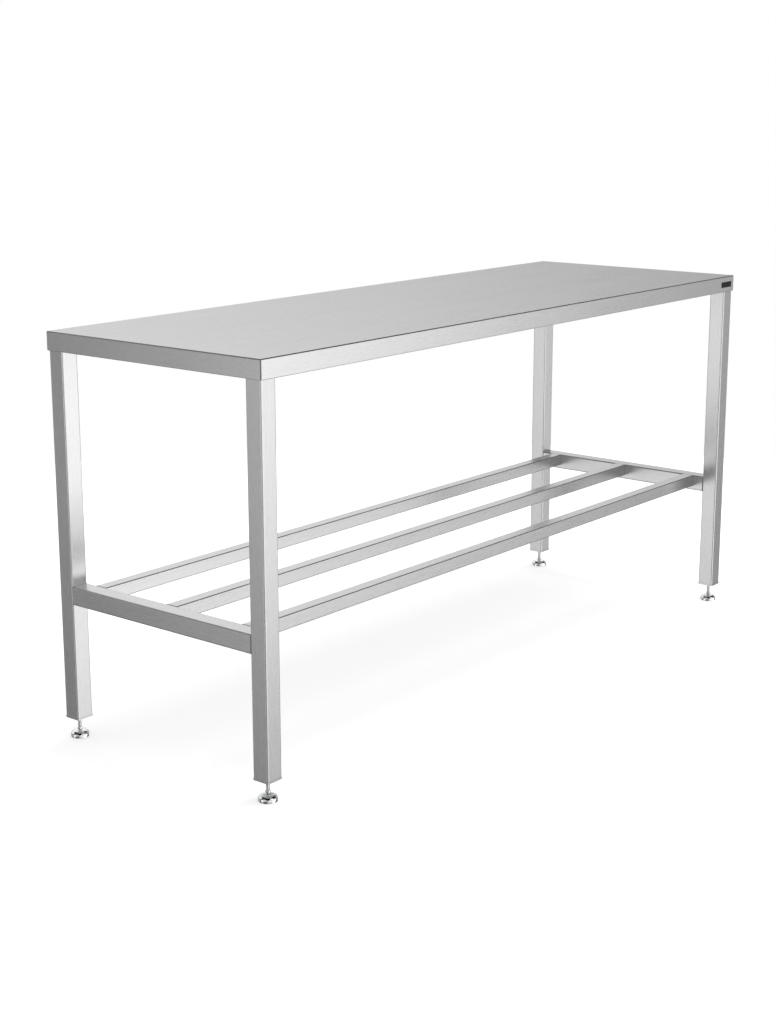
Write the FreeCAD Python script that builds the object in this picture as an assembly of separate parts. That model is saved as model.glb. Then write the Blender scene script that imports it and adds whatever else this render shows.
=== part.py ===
# Stainless work table: a folded sheet top on a welded tube frame, a slatted undershelf
# of three long rails, and four screw-in levelling feet with swivelling bases.
#
# Millimetres, +Z up, +X along the table, the front side at -Y. The origin is on the
# floor, at the centre of the table's outline.
import FreeCAD, Part
import math
import os

from FreeCAD import Rotation, Vector

# Outline of the table
table_length = 1800.0
table_width = 600.0
table_height = 880.0

# Folded top: one sheet with bent edges, ground corners and hems turned in at the bottom
sheet_gauge = 1.5
edge_height = 40.0
bend_inside_radius = 1.0
corner_extra_radius = 0.5
hem_height = 12.0
hem_notch = 8.0
hem_roundness = 0.8
frame_gap = 0.5

# Square tube of the legs and the cross rails
tube_size = 40.0
tube_wall = 1.5
tube_inside_radius = 1.5

# Square tube of the shelf rails and of the frame under the top
rail_size = 30.0
rail_wall = 1.5
rail_inside_radius = 0.5

# Square tube of the bearers that cross the frame under the top
bearer_size = 25.0
bearer_wall = 1.5
bearer_inside_radius = 0.5

# Undershelf and bearers
shelf_height = 342.5
shelf_rail_pitch = 212.0
bearer_count = 3

# Fixing of the top: a lug on the frame, a stud welded under the sheet, a flange nut
lug_length = 32.0
lug_reach = 26.0
lug_thickness = 3.0
lug_drop = 8.0
stud_diameter = 6.0
stud_length = 20.0
stud_play = 0.5
nut_flats = 10.0
nut_height = 5.0
nut_flange_diameter = 13.0
nut_flange_height = 1.2
nut_thread_play = 0.05

# Closed lower end of a leg, and how far it stands above the floor
foot_height = 45.0
end_plate_thickness = 4.0
end_plate_overhang = 0.8
bush_diameter = 16.0
bush_length = 16.0
bush_play = 0.05

# Spindle of a levelling foot
thread_diameter = 8.0
thread_play = 0.05
thread_chamfer = 1.0
thread_end_gap = 0.5
hex_flats = 10.0
hex_height = 6.0
ball_diameter = 9.0
neck_diameter = 5.6
neck_length = 0.8

# Swivelling base of a levelling foot
base_diameter = 40.0
rim_height = 4.0
rim_chamfer = 0.6
dome_radius = 9.0
socket_play = 0.2
socket_floor = 2.4
drill_point_angle = 118.0
ring_diameter = 12.4
ring_bore = 7.6
ring_thickness = 1.0
ring_play = 0.05
lip_wall = 1.2
pad_diameter = 34.0
pad_thickness = 2.2
pad_stand = 0.8
pad_chamfer = 0.4
pad_play = 0.1

# Levels of the top and of the frame
sheet_underside = table_height - sheet_gauge
frame_inset = 2 * sheet_gauge + frame_gap
leg_x = table_length / 2 - frame_inset - tube_size / 2
leg_y = table_width / 2 - frame_inset - tube_size / 2
clear_length = 2 * leg_x - tube_size
clear_width = 2 * leg_y - tube_size
bearer_length = 2 * leg_y - rail_size
bay_length = clear_length / (bearer_count + 1)
end_plate_top = foot_height + end_plate_thickness

# Levels of a levelling foot: the ball sits in the drill point of its socket, under the ring
ball_radius = ball_diameter / 2
socket_radius = ball_radius + socket_play
half_drill_point = math.radians(drill_point_angle / 2)
socket_bottom = pad_thickness + socket_floor
socket_shoulder = socket_bottom + socket_radius / math.tan(half_drill_point)
ball_level = socket_bottom + socket_radius / math.sin(half_drill_point)
ring_level = ball_level + math.sqrt(socket_radius**2 - (ring_bore / 2) ** 2)
base_top = ring_level + ring_thickness
hex_level = ball_level + ball_radius + neck_length
hex_top = hex_level + hex_height
thread_top = foot_height + bush_length - thread_end_gap

ORIGIN = Vector(0, 0, 0)
ALONG_X = Vector(1, 0, 0)
ALONG_Y = Vector(0, 1, 0)
UP = Vector(0, 0, 1)
FULL_TURN = 360.0
QUARTER_TURN = 90.0
HEXAGON_SIDES = 6
SAME_PLACE = 0.01

SIDES = {"front": -1, "back": 1}
ENDS = {"left": -1, "right": 1}
CORNERS = {
    side + "_" + end: Vector(ENDS[end] * leg_x, SIDES[side] * leg_y, 0)
    for side in SIDES
    for end in ENDS
}


def rounded_bar(size_x, size_y, length, radius):
    """Upright bar on the Z axis with its four long edges rounded."""
    bar = Part.makeBox(size_x, size_y, length, Vector(-size_x / 2, -size_y / 2, 0))
    flat = (bar.BoundBox.ZMin, bar.BoundBox.ZMax)
    upright = [edge for edge in bar.Edges if (edge.BoundBox.ZMin, edge.BoundBox.ZMax) == flat]
    return bar.makeFillet(radius, upright)


def square_tube(size, wall, inside_radius, length):
    """Upright square tube on the Z axis, open at both ends."""
    outside = rounded_bar(size, size, length, inside_radius + wall)
    inside = rounded_bar(size - 2 * wall, size - 2 * wall, length, inside_radius)
    return outside.cut(inside)


def leg_tube(length):
    return square_tube(tube_size, tube_wall, tube_inside_radius, length)


def rail_tube(length):
    return square_tube(rail_size, rail_wall, rail_inside_radius, length)


def bearer_tube(length):
    return square_tube(bearer_size, bearer_wall, bearer_inside_radius, length)


def laid_along_x(bar, y, top):
    """Lay an upright bar down on x = 0, with its top at a level."""
    bar.translate(Vector(0, 0, -bar.BoundBox.ZLength / 2))
    bar.rotate(ORIGIN, ALONG_Y, QUARTER_TURN)
    bar.translate(Vector(0, y, top - bar.BoundBox.ZMax))
    return bar


def laid_along_y(bar, x, top):
    """Lay an upright bar down on y = 0, with its top at a level."""
    bar.translate(Vector(0, 0, -bar.BoundBox.ZLength / 2))
    bar.rotate(ORIGIN, ALONG_X, QUARTER_TURN)
    bar.translate(Vector(x, 0, top - bar.BoundBox.ZMax))
    return bar


def same(value, other):
    return math.isclose(value, other, abs_tol=SAME_PLACE)


def edges_at(shape, level):
    """Edges of a shape that lie flat at a level."""
    return [
        edge for edge in shape.Edges if same(edge.BoundBox.ZMin, level) and same(edge.BoundBox.ZMax, level)
    ]


def hexagon(flats, height):
    """Upright hexagonal prism on the Z axis."""
    corner = Vector(flats / math.sqrt(3), 0, 0)
    turns = [Rotation(UP, side * FULL_TURN / HEXAGON_SIDES) for side in range(HEXAGON_SIDES + 1)]
    outline = Part.makePolygon([turn.multVec(corner) for turn in turns])
    return Part.Face(outline).extrude(UP * height)


def folded_block(length, width, height, bend_radius):
    """Block with the rounded top and corners of a folded sheet, standing on z = 0."""
    block = rounded_bar(length, width, height, bend_radius + corner_extra_radius)
    return block.makeFillet(bend_radius, edges_at(block, height))


def hems():
    """Strips folded in against the edges, cut back at each corner."""
    inside_x = table_length / 2 - sheet_gauge
    inside_y = table_width / 2 - sheet_gauge
    long_hem = Part.makeBox(2 * (inside_x - hem_notch), sheet_gauge, hem_height)
    short_hem = Part.makeBox(sheet_gauge, 2 * (inside_y - hem_notch), hem_height)
    return [
        long_hem.translated(Vector(hem_notch - inside_x, -inside_y, 0)),
        long_hem.translated(Vector(hem_notch - inside_x, inside_y - sheet_gauge, 0)),
        short_hem.translated(Vector(-inside_x, hem_notch - inside_y, 0)),
        short_hem.translated(Vector(inside_x - sheet_gauge, hem_notch - inside_y, 0)),
    ]


def top_sheet():
    """Folded top with its hems."""
    skin = folded_block(table_length, table_width, edge_height, bend_inside_radius + sheet_gauge)
    hollow = folded_block(
        table_length - 2 * sheet_gauge,
        table_width - 2 * sheet_gauge,
        edge_height - sheet_gauge,
        bend_inside_radius,
    )
    sheet = skin.cut(hollow).multiFuse(hems()).removeSplitter()
    fold = [
        edge
        for edge in edges_at(sheet, 0)
        if same(abs(edge.BoundBox.Center.x), table_length / 2)
        or same(abs(edge.BoundBox.Center.y), table_width / 2)
    ]
    sheet = sheet.makeFillet(hem_roundness * sheet_gauge, fold)
    return sheet.translated(UP * (table_height - edge_height))


def leg(corner):
    """Leg from its end plate up to the sheet."""
    upright = leg_tube(sheet_underside - end_plate_top)
    return upright.translated(corner + UP * end_plate_top)


def end_plate(corner):
    """Plate that closes a leg, with a seat for the threaded bush."""
    size = tube_size + 2 * end_plate_overhang
    plate = rounded_bar(size, size, end_plate_thickness, tube_inside_radius + tube_wall)
    seat = Part.makeCylinder(bush_diameter / 2 + bush_play, end_plate_thickness)
    return plate.cut(seat).translated(corner + UP * foot_height)


def foot_bush(corner):
    """Threaded bush welded into the end plate, drawn with a plain bore."""
    bush = Part.makeCylinder(bush_diameter / 2, bush_length)
    bore = Part.makeCylinder(thread_diameter / 2 + thread_play, bush_length)
    return bush.cut(bore).translated(corner + UP * foot_height)


def fixing_places():
    """Points on the sheet's underside above the lugs, one for each side of each bay."""
    middle_of_bay = [bay_length * (bay + 0.5) - clear_length / 2 for bay in range(bearer_count + 1)]
    reach = bearer_length / 2 - lug_reach / 2
    return [Vector(x, sign * reach, sheet_underside) for sign in SIDES.values() for x in middle_of_bay]


def fixing_lugs():
    lug = Part.makeBox(
        lug_length, lug_reach, lug_thickness, Vector(-lug_length / 2, -lug_reach / 2, -lug_thickness)
    )
    hole = Part.makeCylinder(stud_diameter / 2 + stud_play, lug_thickness)
    lug = lug.cut(hole.translated(UP * -lug_thickness))
    return Part.makeCompound([lug.translated(place - UP * lug_drop) for place in fixing_places()])


def fixing_studs():
    stud = Part.makeCylinder(stud_diameter / 2, stud_length)
    return Part.makeCompound([stud.translated(place - UP * stud_length) for place in fixing_places()])


def fixing_nuts():
    """Flange nuts drawn up against the underside of the lugs."""
    flange = Part.makeCylinder(nut_flange_diameter / 2, nut_flange_height)
    nut = hexagon(nut_flats, nut_height).fuse(flange.translated(UP * (nut_height - nut_flange_height)))
    nut = nut.cut(Part.makeCylinder(stud_diameter / 2 + nut_thread_play, nut_height))
    drop = UP * (lug_drop + lug_thickness + nut_height)
    return Part.makeCompound([nut.translated(place - drop) for place in fixing_places()])


def spindle(corner):
    """Spindle of a foot: ball, neck, hexagon and thread, drawn without its helix."""
    ball = Part.makeSphere(ball_radius, UP * ball_level)
    neck = Part.makeCylinder(neck_diameter / 2, hex_level - ball_level, UP * ball_level)
    drive = hexagon(hex_flats, hex_height).translated(UP * hex_level)
    thread = Part.makeCylinder(thread_diameter / 2, thread_top - hex_top, UP * hex_top)
    thread = thread.makeChamfer(thread_chamfer, edges_at(thread, thread_top))
    return ball.multiFuse([neck, drive, thread]).removeSplitter().translated(corner)


def dome_tangent(centre, lip):
    """Point where a straight line from the lip meets the dome's arc without a kink."""
    to_lip = lip - centre
    turn = math.acos(dome_radius / to_lip.Length)
    angle = math.atan2(to_lip.z, to_lip.x) - turn
    return angle, centre + Vector(math.cos(angle), 0, math.sin(angle)) * dome_radius


def foot_base(corner):
    """Bell-shaped base with a drilled socket for the ball and a recess for the pad."""
    rim = base_diameter / 2
    recess = pad_diameter / 2 + pad_play
    seat = ring_diameter / 2 + ring_play
    rim_top = pad_stand + rim_height
    lip = Vector(seat + lip_wall, 0, base_top)
    dome_centre = Vector(rim - dome_radius, 0, rim_top)
    angle, shoulder = dome_tangent(dome_centre, lip)
    half_way = Vector(math.cos(angle / 2), 0, math.sin(angle / 2)) * dome_radius
    below = [
        Vector(0, 0, pad_thickness),
        Vector(recess, 0, pad_thickness),
        Vector(recess, 0, pad_stand),
        Vector(rim - rim_chamfer, 0, pad_stand),
        Vector(rim, 0, pad_stand + rim_chamfer),
        Vector(rim, 0, rim_top),
    ]
    above = [
        shoulder,
        lip,
        Vector(seat, 0, base_top),
        Vector(seat, 0, ring_level),
        Vector(socket_radius, 0, ring_level),
        Vector(socket_radius, 0, socket_shoulder),
        Vector(0, 0, socket_bottom),
        below[0],
    ]
    dome = Part.Arc(below[-1], dome_centre + half_way, shoulder).toShape()
    profile = Part.Wire(Part.makePolygon(below).Edges + [dome] + Part.makePolygon(above).Edges)
    return Part.Face(profile).revolve(ORIGIN, UP, FULL_TURN).translated(corner)


def foot_ring(corner):
    """Ring that closes the socket over the ball."""
    ring = Part.makeCylinder(ring_diameter / 2, ring_thickness)
    bore = Part.makeCylinder(ring_bore / 2, ring_thickness)
    return ring.cut(bore).translated(corner + UP * ring_level)


def foot_pad(corner):
    """Non-slip pad in the recess of the base, which stands on the floor."""
    pad = Part.makeCylinder(pad_diameter / 2, pad_thickness)
    return pad.makeChamfer(pad_chamfer, edges_at(pad, 0)).translated(corner)


nodes = {"top_sheet": top_sheet()}

for side, sign in SIDES.items():
    nodes["top_frame_" + side] = laid_along_x(rail_tube(clear_length), sign * leg_y, sheet_underside)
    nodes["shelf_rail_" + side] = laid_along_x(
        rail_tube(clear_length), sign * shelf_rail_pitch, shelf_height
    )
nodes["shelf_rail_middle"] = laid_along_x(rail_tube(clear_length), 0, shelf_height)

for end, sign in ENDS.items():
    nodes["top_frame_" + end] = laid_along_y(rail_tube(clear_width), sign * leg_x, sheet_underside)
    nodes["cross_rail_" + end] = laid_along_y(leg_tube(clear_width), sign * leg_x, shelf_height)

for number in range(1, bearer_count + 1):
    place = number * bay_length - clear_length / 2
    nodes[f"top_bearer_{number}"] = laid_along_y(bearer_tube(bearer_length), place, sheet_underside)

nodes["fixing_lugs"] = fixing_lugs()
nodes["fixing_studs"] = fixing_studs()
nodes["fixing_nuts"] = fixing_nuts()

for name, corner in CORNERS.items():
    nodes["leg_" + name] = leg(corner)
    nodes["end_plate_" + name] = end_plate(corner)
    nodes["foot_bush_" + name] = foot_bush(corner)
    nodes["foot_spindle_" + name] = spindle(corner)
    nodes["foot_ring_" + name] = foot_ring(corner)
    nodes["foot_base_" + name] = foot_base(corner)
    nodes["foot_pad_" + name] = foot_pad(corner)

os.makedirs("parts", exist_ok=True)
for name, shape in nodes.items():
    shape.exportStep("parts/" + name + ".step")
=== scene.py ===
"""Looks of a stainless work table: brushed sheet and tube, welds, and bright levelling feet.

Metres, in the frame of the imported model: +Z up, +X along the table, the front side at -Y.
"""

import math
import random

import bmesh
import bpy
from mathutils import Matrix, Vector


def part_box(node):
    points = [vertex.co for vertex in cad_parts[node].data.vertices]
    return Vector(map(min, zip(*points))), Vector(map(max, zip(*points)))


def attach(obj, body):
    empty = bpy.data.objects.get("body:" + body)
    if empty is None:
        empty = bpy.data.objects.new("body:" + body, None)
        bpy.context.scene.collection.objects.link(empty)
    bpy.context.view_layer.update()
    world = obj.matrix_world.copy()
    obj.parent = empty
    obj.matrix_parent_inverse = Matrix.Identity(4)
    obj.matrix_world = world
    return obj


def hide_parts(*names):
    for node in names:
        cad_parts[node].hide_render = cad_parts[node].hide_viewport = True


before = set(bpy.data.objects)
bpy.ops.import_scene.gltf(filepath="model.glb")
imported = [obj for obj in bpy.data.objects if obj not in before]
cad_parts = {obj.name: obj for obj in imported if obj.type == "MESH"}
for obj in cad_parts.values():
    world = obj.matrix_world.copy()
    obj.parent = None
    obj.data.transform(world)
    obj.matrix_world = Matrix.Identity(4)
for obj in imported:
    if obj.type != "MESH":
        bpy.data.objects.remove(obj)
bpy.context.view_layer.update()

MM = 0.001
AXES = "XYZ"
ALONG_X = Vector((1.0, 0.0, 0.0))
ALONG_Y = Vector((0.0, 1.0, 0.0))
UP = Vector((0.0, 0.0, 1.0))
FULL_TURN = 2 * math.pi
WHITE = (1.0, 1.0, 1.0, 1.0)
CORNERS = ("front_left", "front_right", "back_left", "back_right")


# ---------------------------------------------------------------- node graphs


class Number:
    """A number that varies over a surface, with Python's arithmetic for its Math nodes."""

    def __init__(self, graph, socket):
        self.graph = graph
        self.socket = socket

    def __add__(self, other):
        return self.graph.math("ADD", self, other)

    def __radd__(self, other):
        return self.graph.math("ADD", other, self)

    def __sub__(self, other):
        return self.graph.math("SUBTRACT", self, other)

    def __rsub__(self, other):
        return self.graph.math("SUBTRACT", other, self)

    def __mul__(self, other):
        return self.graph.math("MULTIPLY", self, other)

    def __rmul__(self, other):
        return self.graph.math("MULTIPLY", other, self)

    def __gt__(self, other):
        return self.graph.math("GREATER_THAN", self, other)

    def __abs__(self):
        return self.graph.math("ABSOLUTE", self)


class Made:
    """A node that was made, whose outputs are read by name."""

    def __init__(self, graph, node):
        self.graph = graph
        self.node = node

    def __getitem__(self, name):
        return Number(self.graph, self.node.outputs[name])


class Graph:
    """The node tree of one material or of the world."""

    def __init__(self, owner):
        owner.use_nodes = True
        self.tree = owner.node_tree
        self.tree.nodes.clear()

    def node(self, kind, settings=(), inputs=()):
        """Make a node: its settings first, then the values or links of its inputs."""
        made = self.tree.nodes.new("ShaderNode" + kind)
        for name, value in dict(settings).items():
            setattr(made, name, value)
        for name, value in dict(inputs).items():
            if isinstance(value, Number):
                self.tree.links.new(value.socket, made.inputs[name])
            else:
                made.inputs[name].default_value = value
        return Made(self, made)

    def math(self, operation, *values):
        return self.node("Math", {"operation": operation}, enumerate(values))["Value"]

    def dot(self, vector, other):
        return self.node("VectorMath", {"operation": "DOT_PRODUCT"}, {0: vector, 1: other})["Value"]

    def fade(self, value, start, end, low=0.0, high=1.0):
        """Smooth step of a value from one level to another."""
        span = {"Value": value, "From Min": start, "From Max": end, "To Min": low, "To Max": high}
        return self.node("MapRange", {"interpolation_type": "SMOOTHSTEP"}, span)["Result"]

    def blend(self, factor, first, second):
        """Mix of two colours."""
        inputs = {0: factor, 6: first, 7: second}
        return self.node("Mix", {"data_type": "RGBA"}, inputs)[2]

    def places(self):
        """The three coordinates of a point of the piece, in metres."""
        point = self.node("TexCoord")["Object"]
        split = self.node("SeparateXYZ", (), {"Vector": point})
        return [split[axis] for axis in AXES]

    def noise(self, places, detail=2.0):
        """Cloudy noise of a point whose coordinates are already scaled."""
        point = self.node("CombineXYZ", (), zip(AXES, places))["Vector"]
        return self.node("TexNoise", (), {"Vector": point, "Scale": 1.0, "Detail": detail})["Fac"]

    def bump(self, height, strength, depth):
        """Surface normal of a relief whose height runs over a depth in metres."""
        inputs = {"Strength": strength, "Distance": depth, "Height": height}
        return self.node("Bump", (), inputs)["Normal"]


def new_material(name):
    material = bpy.data.materials.new(name)
    return material, Graph(material)


def finish_surface(graph, inputs):
    """Close a material's graph with its shader."""
    shader = graph.node("BsdfPrincipled", (), inputs)["BSDF"]
    graph.node("OutputMaterial", (), {"Surface": shader})


# ------------------------------------------------------------------ materials

STEEL_LIGHT = (0.74, 0.74, 0.74, 1.0)
STEEL_DARK = (0.64, 0.64, 0.64, 1.0)
# Painted dark reflection: this dark colour is painted on the bends and ground corners of the metal,
# where they would mirror dark parts of the room.
PAINTED_BEND_DARK = (0.28, 0.28, 0.28, 1.0)

# How squarely a normal faces an axis, as a cosine: on a flat, well into a bend, on a face that
# looks neither up nor down, and on the end edges of the top.
# The first three set where the painted dark reflection lines fall.
FLAT_FACING = 0.999
BENT_FACING = 0.97
LEVEL_FACING = -0.02
END_FACING = 0.7

# Frequencies of the brushed grain for each metre along it and across it.
HAIRS = (90.0, 1900.0)
STROKES = (50.0, 620.0)
STREAKS = (9.0, 230.0)
CLOUDS = (3.0, 9.0)


def painted_bend_dark_mask(graph):
    """Mask of the painted dark reflection lines: one on the bends and the ground corners of the
    metal, nought on its flats and hems.
    """
    normal = graph.node("NewGeometry")["Normal"]
    steepest = 0.0
    for axis in (ALONG_X, ALONG_Y, UP):
        steepest = graph.math("MAXIMUM", abs(graph.dot(normal, axis)), steepest)
    above_hems = graph.dot(normal, UP) > LEVEL_FACING
    return graph.fade(steepest, FLAT_FACING, BENT_FACING) * above_hems


def brushed_steel(name, grain_of, roughness=0.28, bend_dark_depth=0.0):
    """Steel with a brushed grain: hair lines, short strokes, long streaks and faint clouding, and,
    where asked, painted dark reflection lines on its bends and ground corners.
    """
    material, graph = new_material(name)
    along, across, level = grain_of(graph)
    # How much of the painted dark reflection colour each point of a bend takes.
    painted_bend_dark = bend_dark_depth * painted_bend_dark_mask(graph) if bend_dark_depth else 0.0

    def grained(frequencies, detail=2.0):
        lengthways, crossways = frequencies
        places = [along * lengthways, across * crossways, level * crossways]
        return graph.noise(places, detail)

    hairs = grained(HAIRS)
    strokes = grained(STROKES)
    streaks = grained(STREAKS, detail=3.0)
    clouds = grained(CLOUDS)
    grain = hairs * 0.3 + strokes * 0.5 + streaks * 0.2
    tone = graph.fade(grain * 0.85 + clouds * 0.15, 0.34, 0.66)
    finish_surface(graph, {
        # Base colour: the grain's tone, blended toward the painted dark reflection colour on the
        # bends.
        "Base Color": graph.blend(painted_bend_dark, graph.blend(tone, STEEL_DARK, STEEL_LIGHT), PAINTED_BEND_DARK),
        "Metallic": 1.0,
        "Roughness": roughness + 0.06 * (grain - 0.5) + 0.03 * (clouds - 0.5) + 0.1 * painted_bend_dark,
        "Normal": graph.bump(grain, 0.08, 0.3 * MM),
    })
    return material


def grain_along(axis):
    """Coordinates of a bar whose grain runs along one axis."""
    def grain_of(graph):
        places = graph.places()
        order = [axis] + [other for other in AXES if other != axis]
        return [places[AXES.index(name)] for name in order]
    return grain_of


def grain_of_sheet(graph):
    """Coordinates of the bent top sheet: its grain runs along X, and along Y on the end edges."""
    x, y, z = graph.places()
    normal = graph.node("NewGeometry")["True Normal"]
    on_end = abs(graph.dot(normal, ALONG_X)) > END_FACING
    along = x + on_end * (y - x)
    across = y + on_end * (x - y)
    return along, across, z


def weld_metal():
    """Bare weld: dull rippled metal with straw and blue heat tint."""
    material, graph = new_material("weld_metal")
    places = graph.places()
    tint = graph.fade(graph.noise([place * 220.0 for place in places]), 0.35, 0.65)
    scale = graph.noise([place * 2200.0 for place in places], detail=3.0)
    finish_surface(graph, {
        "Base Color": graph.blend(tint, (0.38, 0.36, 0.34, 1.0), (0.40, 0.41, 0.43, 1.0)),
        "Metallic": 1.0,
        "Roughness": 0.36 + 0.2 * scale,
        "Normal": graph.bump(scale, 0.2, 0.1 * MM),
    })
    return material


def machined_steel():
    """Turned and cut steel with fine tool marks all round."""
    material, graph = new_material("machined_steel")
    x, y, z = graph.places()
    marks = graph.noise([x * 60.0, y * 60.0, z * 5200.0])
    spots = graph.noise([place * 300.0 for place in (x, y, z)])
    finish_surface(graph, {
        "Base Color": graph.blend(spots, (0.56, 0.565, 0.57, 1.0), (0.66, 0.665, 0.67, 1.0)),
        "Metallic": 1.0,
        "Roughness": 0.24 + 0.1 * marks,
        "Normal": graph.bump(marks, 0.15, 0.1 * MM),
    })
    return material


def bright_chrome():
    """Polished metal with faint waves and a few dull specks."""
    material, graph = new_material("bright_chrome")
    places = graph.places()
    waves = graph.noise([place * 90.0 for place in places])
    specks = graph.fade(graph.noise([place * 1500.0 for place in places]), 0.62, 0.72)
    finish_surface(graph, {
        "Base Color": graph.blend(specks * 0.3, (0.84, 0.85, 0.86, 1.0), (0.6, 0.6, 0.6, 1.0)),
        "Metallic": 1.0,
        "Roughness": 0.05 + 0.12 * specks,
        "Normal": graph.bump(waves, 0.04, 0.5 * MM),
    })
    return material


def black_rubber():
    """Matt moulded rubber with a fine grain and dusty patches."""
    material, graph = new_material("black_rubber")
    places = graph.places()
    grain = graph.noise([place * 900.0 for place in places], detail=4.0)
    dust = graph.fade(graph.noise([place * 60.0 for place in places]), 0.45, 0.7)
    finish_surface(graph, {
        "Base Color": graph.blend(dust, (0.02, 0.02, 0.02, 1.0), (0.06, 0.06, 0.06, 1.0)),
        "Roughness": 0.65 + 0.2 * grain,
        "Normal": graph.bump(grain, 0.3, 0.3 * MM),
    })
    return material


def dark_plate_finish():
    """Black plate with a satin grain along its length."""
    material, graph = new_material("dark_plate")
    x, y, z = graph.places()
    grain = graph.noise([x * 60.0, y * 60.0, z * 3000.0])
    finish_surface(graph, {
        "Base Color": graph.blend(grain, (0.008, 0.008, 0.009, 1.0), (0.02, 0.02, 0.021, 1.0)),
        "Specular IOR Level": 0.2,
        "Roughness": 0.4 + 0.15 * grain,
        "Normal": graph.bump(grain, 0.1, 0.1 * MM),
    })
    return material


# --------------------------------------------------------------------- studio

CAMERA_PLACE = (-3.1967, -2.4676, 1.3739)
CAMERA_ANGLES = (76.727, 0.164, -50.54)
CAMERA_LENS = 61.13
CAMERA_SHIFT = (0.0111, -0.0199)
SENSOR_HEIGHT = 36.0

# What the metal mirrors. Each panel: azimuth and elevation of its middle, the half widths of
# its full core and of its soft edge, all in degrees, how much flatter than wide it is, and
# how much light it adds to the room. A black flag takes light away. The camera, the room's
# level and the first five panels come from least-squares fits made outside this script, and
# were rounded. The other panels and the flag were set one by one.
ROOM_LEVEL = 0.11
PANELS = (
    (-65.0, -10.0, 21.0, 43.0, 1.9, 0.86),
    (153.5, -8.0, 2.0, 27.0, 1.0, 1.20),
    (74.0, 24.0, 45.0, 74.0, 2.9, 0.90),
    (-54.0, 5.0, 43.0, 58.0, 4.6, 0.12),
    (-80.0, 4.0, 41.0, 53.0, 1.4, 0.56),
    (-178.0, 12.0, 18.0, 40.0, 1.20, 0.55),
    (0.0, 12.0, 10.0, 27.0, 1.30, 0.50),
    (95.0, -12.0, 15.0, 36.0, 1.50, 0.45),
    (-128.0, 13.0, 12.0, 30.0, 1.20, 0.35),
    (30.0, -16.0, 25.0, 42.0, 3.00, 0.80),
    (-126.0, -16.0, 8.0, 30.0, 1.00, 0.50),
    (-85.0, 42.0, 14.0, 30.0, 1.00, 0.80),
    (118.0, 46.0, 5.0, 30.0, 1.00, 0.15),
)
FLAGS = (
    (-140.0, 45.0, 14.0, 34.0, 1.00, -0.40),
)
CEILING_START = 30.0
CEILING_FULL = 44.0
CEILING_SHADE = -0.15
FLOOR_GLOW_START = -40.0
FLOOR_GLOW_FULL = -62.0
FLOOR_GLOW = 0.5
PLAIN_LEVEL = 0.8

FLOOR_RADIUS = 2.6
FLOOR_STEPS = 96
FLOOR_COLOUR = (0.8, 0.8, 0.8, 1.0)
FLOOR_WHITENING = 0.45
LAMP_PLACE = (0.4, -0.6, 3.2)
LAMP_WIDTH = 2.5
LAMP_POWER = 60.0


def set_camera():
    data = bpy.data.cameras.new("camera")
    data.sensor_fit = "VERTICAL"
    data.sensor_height = SENSOR_HEIGHT
    data.lens = CAMERA_LENS
    data.shift_x, data.shift_y = CAMERA_SHIFT
    camera = bpy.data.objects.new("camera", data)
    camera.location = CAMERA_PLACE
    camera.rotation_euler = [math.radians(angle) for angle in CAMERA_ANGLES]
    bpy.context.scene.collection.objects.link(camera)
    bpy.context.scene.camera = camera


def mirrored_room(graph):
    """Light that metal mirrors from each direction: soft panels, a flag and a dark ceiling."""
    direction = graph.node("TexCoord")["Generated"]
    elevation = graph.math("DEGREES", graph.math("ARCSINE", graph.dot(direction, UP)))
    level = ROOM_LEVEL + graph.fade(elevation, CEILING_START, CEILING_FULL, high=CEILING_SHADE)
    level = level + graph.fade(elevation, FLOOR_GLOW_START, FLOOR_GLOW_FULL, high=FLOOR_GLOW)
    for azimuth, height, core, edge, flatness, light in PANELS + FLAGS:
        turn = math.radians(azimuth)
        ahead = graph.dot(direction, (math.cos(turn), math.sin(turn), 0.0))
        aside = graph.dot(direction, (-math.sin(turn), math.cos(turn), 0.0))
        sideways = graph.math("DEGREES", graph.math("ARCTAN2", aside, ahead))
        upward = (elevation - height) * flatness
        away = graph.math("SQRT", sideways * sideways + upward * upward)
        level = level + graph.fade(away, core, edge, light, 0.0)
    return graph.math("MAXIMUM", level, 0.0)


def set_room():
    """White backdrop for the camera, and a room of soft panels for what metal mirrors."""
    world = bpy.data.worlds.new("studio")
    world.cycles.sampling_method = "NONE"
    bpy.context.scene.world = world
    graph = Graph(world)
    ray = graph.node("LightPath")
    mirrored = ray["Is Glossy Ray"] + ray["Is Transmission Ray"]
    seen = ray["Is Camera Ray"]
    strength = seen + mirrored * mirrored_room(graph) + (1.0 - seen - mirrored) * PLAIN_LEVEL
    background = graph.node("Background", (), {"Color": WHITE, "Strength": strength})["Background"]
    graph.node("OutputWorld", (), {"Surface": background})


def set_floor():
    """Pale floor that keeps the shadow and shows white to the camera."""
    mesh = bpy.data.meshes.new("floor")
    shape = bmesh.new()
    bmesh.ops.create_circle(shape, cap_ends=True, segments=FLOOR_STEPS, radius=FLOOR_RADIUS)
    shape.to_mesh(mesh)
    shape.free()
    floor = bpy.data.objects.new("floor", mesh)
    bpy.context.scene.collection.objects.link(floor)
    material, graph = new_material("pale_floor")
    seen = graph.node("LightPath")["Is Camera Ray"]
    matt = graph.node("BsdfDiffuse", (), {"Color": FLOOR_COLOUR})["BSDF"]
    strength = seen * FLOOR_WHITENING
    glow = graph.node("Emission", (), {"Color": WHITE, "Strength": strength})["Emission"]
    both = graph.node("AddShader", (), {0: matt, 1: glow})["Shader"]
    graph.node("OutputMaterial", (), {"Surface": both})
    mesh.materials.append(material)
    floor.visible_glossy = False


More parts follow.
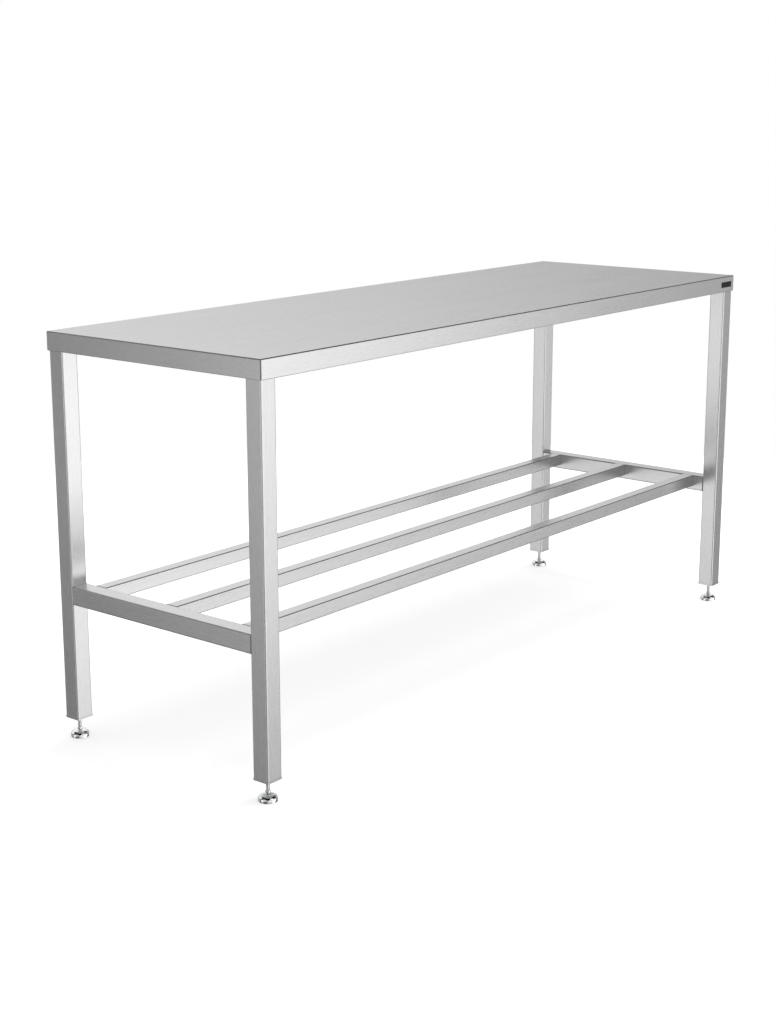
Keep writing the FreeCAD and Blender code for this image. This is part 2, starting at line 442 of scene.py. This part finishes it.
def set_lamps():
    data = bpy.data.lights.new("overhead", "AREA")
    data.shape = "DISK"
    data.size = LAMP_WIDTH
    data.energy = LAMP_POWER
    lamp = bpy.data.objects.new("overhead", data)
    lamp.location = LAMP_PLACE
    lamp.visible_glossy = False
    bpy.context.scene.collection.objects.link(lamp)


# --------------------------------------------------------------------- shapes

SHARP_TURN = math.radians(32.0)
THREAD_DEPTH = 0.61
THREAD_SLOPE = 0.8
HEX_BEVEL = 0.97


def skin(loops, closed=False):
    """Points and faces of a skin over loops that all have as many points."""
    count = len(loops[0])
    points = [point for loop in loops for point in loop]
    faces = []
    for row in range(len(loops) if closed else len(loops) - 1):
        here = row * count
        there = (row + 1) % len(loops) * count
        for step in range(count):
            after = (step + 1) % count
            faces.append((here + step, here + after, there + after, there + step))
    if not closed:
        faces.append(tuple(reversed(range(count))))
        faces.append(tuple(range(len(points) - count, len(points))))
    return points, faces


def join(parts):
    """One set of points and faces from several."""
    points, faces = [], []
    for more_points, more_faces in parts:
        start = len(points)
        points.extend(more_points)
        faces.extend(tuple(start + index for index in face) for face in more_faces)
    return points, faces


def moved(part, offset):
    points, faces = part
    return [point + offset for point in points], faces


def make_mesh(name, part, material):
    points, faces = part
    mesh = bpy.data.meshes.new(name)
    mesh.from_pydata([tuple(point) for point in points], [], faces)
    shape = bmesh.new()
    shape.from_mesh(mesh)
    bmesh.ops.recalc_face_normals(shape, faces=shape.faces)
    shape.to_mesh(mesh)
    shape.free()
    mesh.shade_smooth()
    mesh.set_sharp_from_angle(angle=SHARP_TURN)
    mesh.materials.append(material)
    return mesh


def place_piece(name, mesh, body, place=(0.0, 0.0, 0.0), replaced=None):
    """Put a mesh in the scene as a piece that rides on a body."""
    piece = bpy.data.objects.new(name, mesh)
    piece.location = place
    bpy.context.scene.collection.objects.link(piece)
    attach(piece, body)
    if replaced:
        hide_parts(replaced)


def ring(level, radius, steps):
    """Loop of points round the Z axis. The radius is a number or a function of the turn."""
    loop = []
    for step in range(steps):
        turn = FULL_TURN * step / steps
        reach = radius(turn) if callable(radius) else radius
        loop.append(Vector((reach * math.cos(turn), reach * math.sin(turn), level)))
    return loop


def hexagon(flats, limit):
    """Radius of a hexagon at each turn, cut down to a limit at its corners."""
    sixth = FULL_TURN / 6

    def radius(turn):
        off_middle = (turn % sixth) - sixth / 2
        return min(flats / 2 / math.cos(off_middle), limit)
    return radius


def thread_rings(start, end, diameter, pitch, steps, rows_per_pitch=8):
    """Rings of a screw thread that is chamfered at its end."""
    outside = diameter / 2
    depth = THREAD_DEPTH * pitch
    rows = round((end - start) / pitch * rows_per_pitch)

    def radius_at(level):
        chamfer = outside - max(0.0, pitch - (end - level)) * THREAD_SLOPE
        run_out = outside - depth * max(0.0, 1.0 - (level - start) / pitch)

        def radius(turn):
            phase = level / pitch - turn / FULL_TURN
            wave = 0.5 + THREAD_SLOPE * math.cos(FULL_TURN * phase)
            crest = min(1.0, max(0.0, wave))
            return min(outside - depth * (1.0 - crest), chamfer, max(run_out, outside - depth))
        return radius

    levels = [start + (end - start) * row / rows for row in range(rows + 1)]
    return [ring(level, radius_at(level), steps) for level in levels]


def rounded_outline(width, height, radius, spacing):
    """Points of a rounded rectangle round the origin, each with its outward direction."""
    points = []
    for quarter in range(4):
        turn = Matrix.Rotation(quarter * FULL_TURN / 4, 2)
        reach, side = (width, height) if quarter % 2 == 0 else (height, width)
        straight = side - 2 * radius
        steps = max(1, round(straight / spacing))
        for step in range(steps):
            place = Vector((reach / 2, straight * (step / steps - 0.5)))
            points.append((turn @ place, turn @ Vector((1.0, 0.0))))
        centre = Vector((reach / 2 - radius, straight / 2))
        bends = max(3, round(radius * FULL_TURN / 4 / spacing))
        for bend in range(bends):
            angle = FULL_TURN / 4 * bend / bends
            outward = Vector((math.cos(angle), math.sin(angle)))
            points.append((turn @ (centre + outward * radius), turn @ outward))
    return points


# ---------------------------------------------------------------------- welds

BEAD_SPACING = 0.55 * MM
BEAD_STEPS = 8
BEAD_WIDTH = 1.0 * MM
BEAD_HEIGHT = 0.6 * MM
LUG_BEAD = 1.1 * MM
SWELL_RETURN = 0.3
SWELL_CHANCE = 0.05
RIPPLE_PITCH = 2.2 * MM
RIPPLE_DEPTH = 0.13
TUBE_CORNER = 3.0 * MM
RAIL_CORNER = 2.0 * MM
chance = random.Random(7)


def bead(path, beside, width, height, closed=True):
    """Rippled weld bead along a path of points with outward directions."""
    loops = []
    swell = 1.0
    for index, (point, outward) in enumerate(path):
        phase = index * BEAD_SPACING / RIPPLE_PITCH % 1.0
        swell += (1.0 - swell) * SWELL_RETURN + chance.uniform(-SWELL_CHANCE, SWELL_CHANCE)
        size = swell * (1.0 - RIPPLE_DEPTH * phase)
        loop = []
        for step in range(BEAD_STEPS):
            turn = FULL_TURN * step / BEAD_STEPS
            across = outward * (math.cos(turn) * height * size)
            loop.append(point + across + beside * (math.sin(turn) * width * size))
        loops.append(loop)
    return skin(loops, closed)


def end_welds(node, axis, corner):
    """Beads round both ends of a tube, ground flush with its top."""
    low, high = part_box(node)
    beside = ALONG_X if axis == "X" else ALONG_Y
    sideways = ALONG_Y if axis == "X" else ALONG_X
    middle = (low + high) / 2
    size = high - low
    outline = rounded_outline(size.dot(sideways), size.z, corner, BEAD_SPACING)
    parts = []
    for end in (low, high):
        centre = middle + beside * (end - middle).dot(beside)
        path = [
            (centre + sideways * point.x + UP * point.y, sideways * outward.x + UP * outward.y)
            for point, outward in outline
        ]
        points, faces = bead(path, beside, BEAD_WIDTH, BEAD_HEIGHT)
        parts.append(([Vector((x, y, min(z, high.z))) for x, y, z in points], faces))
    return join(parts)


def lug_welds():
    """Beads along the root of each lug, above and below it."""
    low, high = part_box("fixing_lugs")
    parts = []
    for place in fixing_places():
        outward = Vector((0.0, -math.copysign(1.0, place.y), 0.0))
        root = high.y * math.copysign(1.0, place.y)
        for level in (low.z, high.z):
            steps = round(LUG_LENGTH / BEAD_SPACING)
            path = [
                (Vector((place.x + LUG_LENGTH * (step / steps - 0.5), root, level)), outward)
                for step in range(steps + 1)
            ]
            parts.append(bead(path, UP, LUG_BEAD, LUG_BEAD, closed=False))
    return join(parts)


# --------------------------------------------------------------------- pieces

LUG_LENGTH = 32.0 * MM
LUG_REACH = 26.0 * MM
STUD_DIAMETER = 6.0 * MM
STUD_PITCH = 1.0 * MM
STUD_STEPS = 24
STUD_FLASH = 0.7 * MM
STUD_FLASH_EDGE = 0.4 * MM
NUT_FLATS = 10.0 * MM
NUT_CORNERS = 11.0 * MM
NUT_FLANGE = 13.0 * MM
NUT_FLANGE_HEIGHT = 1.2 * MM
NUT_BORE = 6.1 * MM
NUT_CHAMFER = 0.6 * MM
NUT_BORE_CHAMFER = 0.5 * MM
NUT_EDGE = 0.3 * MM

BALL_DIAMETER = 9.0 * MM
BALL_ROWS = 20
BALL_FLAT = math.radians(8.0)
NECK_DIAMETER = 5.6 * MM
NECK_LENGTH = 0.8 * MM
HEX_FLATS = 10.0 * MM
HEX_CORNERS = 11.1 * MM
HEX_HEIGHT = 6.0 * MM
HEX_CHAMFER = 0.7 * MM
SPINDLE_DIAMETER = 8.0 * MM
SPINDLE_PITCH = 1.25 * MM
TURNED_STEPS = 48

SOLE_CHAMFER = 0.4 * MM
SOLE_MIDDLE = 4.0 * MM
RIB_PITCH = 3.0 * MM
RIB_WIDTH = 1.6 * MM
GROOVE_SIDE = 0.3 * MM
GROOVE_DEPTH = 0.5 * MM

PLATE_LEFT = 835.5 * MM
PLATE_RIGHT = 885.0 * MM
PLATE_BOTTOM = 851.8 * MM
PLATE_TOP = 866.0 * MM
PLATE_GAUGE = 0.8 * MM
PLATE_CORNER = 1.2 * MM
PLATE_EDGE = 0.25 * MM
PLATE_SPACING = 100.0 * MM


def corner_place(corner):
    low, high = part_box("leg_" + corner)
    return Vector(((low.x + high.x) / 2, (low.y + high.y) / 2, 0.0))


def fixing_places():
    """Points under the sheet above each lug."""
    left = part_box("leg_front_left")[1].x
    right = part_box("leg_front_right")[0].x
    bays = len([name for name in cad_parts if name.startswith("top_bearer")]) + 1
    bay = (right - left) / bays
    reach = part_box("fixing_lugs")[1].y - LUG_REACH / 2
    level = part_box("fixing_studs")[1].z
    return [
        Vector((left + bay * (number + 0.5), side * reach, level))
        for side in (-1.0, 1.0)
        for number in range(bays)
    ]


def spindle():
    """Foot spindle on the Z axis: ball, neck, chamfered hexagon and rolled thread."""
    low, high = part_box("foot_spindle_front_left")
    ball = BALL_DIAMETER / 2
    ball_level = low.z + ball
    hex_level = ball_level + ball + NECK_LENGTH
    hex_top = hex_level + HEX_HEIGHT
    top = math.pi - math.asin(NECK_DIAMETER / BALL_DIAMETER)
    rings = []
    for row in range(BALL_ROWS + 1):
        turn = BALL_FLAT + (top - BALL_FLAT) * row / BALL_ROWS
        rings.append(ring(ball_level - ball * math.cos(turn), ball * math.sin(turn), TURNED_STEPS))
    narrow = hexagon(HEX_FLATS, HEX_FLATS / 2 * HEX_BEVEL)
    full = hexagon(HEX_FLATS, HEX_CORNERS / 2)
    rings.append(ring(hex_level, NECK_DIAMETER / 2, TURNED_STEPS))
    rings.append(ring(hex_level, narrow, TURNED_STEPS))
    rings.append(ring(hex_level + HEX_CHAMFER, full, TURNED_STEPS))
    rings.append(ring(hex_top - HEX_CHAMFER, full, TURNED_STEPS))
    rings.append(ring(hex_top, narrow, TURNED_STEPS))
    rings.extend(thread_rings(hex_top, high.z, SPINDLE_DIAMETER, SPINDLE_PITCH, TURNED_STEPS))
    return skin(rings)


def stud():
    """Threaded stud on the Z axis, with its weld flash at the top, z = 0."""
    low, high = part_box("fixing_studs")
    length = high.z - low.z
    radius = STUD_DIAMETER / 2
    rings = thread_rings(0.0, length, STUD_DIAMETER, STUD_PITCH, STUD_STEPS, rows_per_pitch=6)
    rings = [[Vector((x, y, -z)) for x, y, z in loop] for loop in reversed(rings[1:])]
    rings.append(ring(-STUD_FLASH, radius, STUD_STEPS))
    rings.append(ring(-STUD_FLASH, radius + STUD_FLASH_EDGE, STUD_STEPS))
    rings.append(ring(-STUD_FLASH / 2, radius + STUD_FLASH, STUD_STEPS))
    rings.append(ring(0.0, radius + STUD_FLASH, STUD_STEPS))
    return skin(rings)


def flange_nut():
    """Flange nut on the Z axis with its flange at the top, z = 0."""
    low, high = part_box("fixing_nuts")
    bottom = low.z - high.z
    bore = NUT_BORE / 2
    full = hexagon(NUT_FLATS, NUT_CORNERS / 2)
    narrow = hexagon(NUT_FLATS, NUT_FLATS / 2 * HEX_BEVEL)
    rings = [
        ring(bottom + NUT_BORE_CHAMFER, bore, TURNED_STEPS),
        ring(bottom, bore + NUT_BORE_CHAMFER, TURNED_STEPS),
        ring(bottom, narrow, TURNED_STEPS),
        ring(bottom + NUT_CHAMFER, full, TURNED_STEPS),
        ring(-NUT_FLANGE_HEIGHT, full, TURNED_STEPS),
        ring(-NUT_FLANGE_HEIGHT / 2, NUT_FLANGE / 2 - NUT_EDGE, TURNED_STEPS),
        ring(-NUT_FLANGE_HEIGHT / 4, NUT_FLANGE / 2, TURNED_STEPS),
        ring(0.0, NUT_FLANGE / 2, TURNED_STEPS),
        ring(0.0, bore + NUT_EDGE, TURNED_STEPS),
        ring(-NUT_EDGE, bore, TURNED_STEPS),
    ]
    return skin(rings, closed=True)


def ribbed_pad():
    """Foot pad on the Z axis with round grooves in its sole."""
    low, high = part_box("foot_pad_front_left")
    radius = (high.x - low.x) / 2
    rings = [ring(high.z, radius, TURNED_STEPS)]
    rings.append(ring(SOLE_CHAMFER, radius, TURNED_STEPS))
    reach = radius - SOLE_CHAMFER
    while reach > SOLE_MIDDLE:
        rings.append(ring(0.0, reach, TURNED_STEPS))
        rings.append(ring(0.0, reach - RIB_WIDTH, TURNED_STEPS))
        rings.append(ring(GROOVE_DEPTH, reach - RIB_WIDTH - GROOVE_SIDE, TURNED_STEPS))
        rings.append(ring(GROOVE_DEPTH, reach - RIB_PITCH + GROOVE_SIDE, TURNED_STEPS))
        reach -= RIB_PITCH
    rings.append(ring(0.0, reach, TURNED_STEPS))
    return skin(rings)


def label_plate():
    """Bare plate on the front edge of the top, with rounded corners and a thin bevel."""
    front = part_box("top_sheet")[0].y
    width = PLATE_RIGHT - PLATE_LEFT
    height = PLATE_TOP - PLATE_BOTTOM
    middle = Vector(((PLATE_LEFT + PLATE_RIGHT) / 2, front, (PLATE_TOP + PLATE_BOTTOM) / 2))
    loops = []
    for depth, inset in ((0.0, 0.0), (PLATE_GAUGE - PLATE_EDGE, 0.0), (PLATE_GAUGE, PLATE_EDGE)):
        outline = rounded_outline(
            width - 2 * inset, height - 2 * inset, PLATE_CORNER - inset, PLATE_SPACING
        )
        loops.append([middle + Vector((point.x, -depth, point.y)) for point, _ in outline])
    return skin(loops)


def make_fastenings(machined, weld):
    studs = join([moved(stud(), place) for place in fixing_places()])
    nut_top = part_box("fixing_nuts")[1].z
    nuts = join([moved(flange_nut(), Vector((x, y, nut_top))) for x, y, _ in fixing_places()])
    place_piece(
        "threaded_studs", make_mesh("threaded_studs", studs, machined), "frame",
        replaced="fixing_studs",
    )
    place_piece(
        "flange_nuts", make_mesh("flange_nuts", nuts, machined), "frame",
        replaced="fixing_nuts",
    )
    place_piece("lug_welds", make_mesh("lug_welds", lug_welds(), weld), "frame")


def make_tube_welds(weld):
    groups = {
        "cross_rail_welds": ("cross_rail", "Y", TUBE_CORNER),
        "shelf_rail_welds": ("shelf_rail", "X", RAIL_CORNER),
        "bearer_welds": ("top_bearer", "Y", RAIL_CORNER),
    }
    for name, (start, axis, corner) in groups.items():
        part = join([end_welds(node, axis, corner) for node in starting(start)])
        place_piece(name, make_mesh(name, part, weld), "frame")
    long_tubes = [end_welds("top_frame_" + side, "X", RAIL_CORNER) for side in ("front", "back")]
    short_tubes = [end_welds("top_frame_" + end, "Y", RAIL_CORNER) for end in ("left", "right")]
    mesh = make_mesh("top_frame_welds", join(long_tubes + short_tubes), weld)
    place_piece("top_frame_welds", mesh, "frame")


def make_feet(chrome, rubber):
    spindle_mesh = make_mesh("threaded_spindle", spindle(), chrome)
    pad_mesh = make_mesh("ribbed_pad", ribbed_pad(), rubber)
    for corner in CORNERS:
        place = corner_place(corner)
        place_piece(
            "threaded_spindle_" + corner, spindle_mesh, "spindle_" + corner,
            place, "foot_spindle_" + corner,
        )
        place_piece(
            "ribbed_pad_" + corner, pad_mesh, "foot_" + corner, place,
            "foot_pad_" + corner,
        )


# ---------------------------------------------------------------------- dress


def starting(*starts):
    """Names of the nodes that start with one of some words."""
    return sorted(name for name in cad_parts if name.startswith(starts))


def dress(names, material):
    for name in names:
        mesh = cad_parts[name].data
        mesh.materials.clear()
        mesh.materials.append(material)


bpy.context.scene.view_settings.view_transform = "Standard"
set_camera()
set_room()
set_floor()
set_lamps()

weld = weld_metal()
machined = machined_steel()
chrome = bright_chrome()
rubber = black_rubber()

# The sheet and the rails get painted dark reflection lines on their bends, at these depths.
dress(["top_sheet"], brushed_steel("brushed_sheet", grain_of_sheet, bend_dark_depth=1.0))
dress(starting("leg_"), brushed_steel("brushed_upright", grain_along("Z")))
dress(
    starting("shelf_rail", "top_frame_front", "top_frame_back"),
    brushed_steel("brushed_long_rail", grain_along("X"), bend_dark_depth=0.95),
)
dress(
    starting("cross_rail", "top_bearer", "top_frame_left", "top_frame_right"),
    brushed_steel("brushed_cross_rail", grain_along("Y"), bend_dark_depth=0.5),
)
dress(starting("end_plate", "fixing_lugs"), brushed_steel("brushed_plate", grain_along("X"), 0.26))
dress(starting("foot_bush", "fixing_studs", "fixing_nuts"), machined)
dress(starting("foot_spindle", "foot_base", "foot_ring"), chrome)
dress(starting("foot_pad"), rubber)

make_fastenings(machined, weld)
make_tube_welds(weld)
make_feet(chrome, rubber)
place_piece("label_plate", make_mesh("label_plate", label_plate(), dark_plate_finish()), "frame")
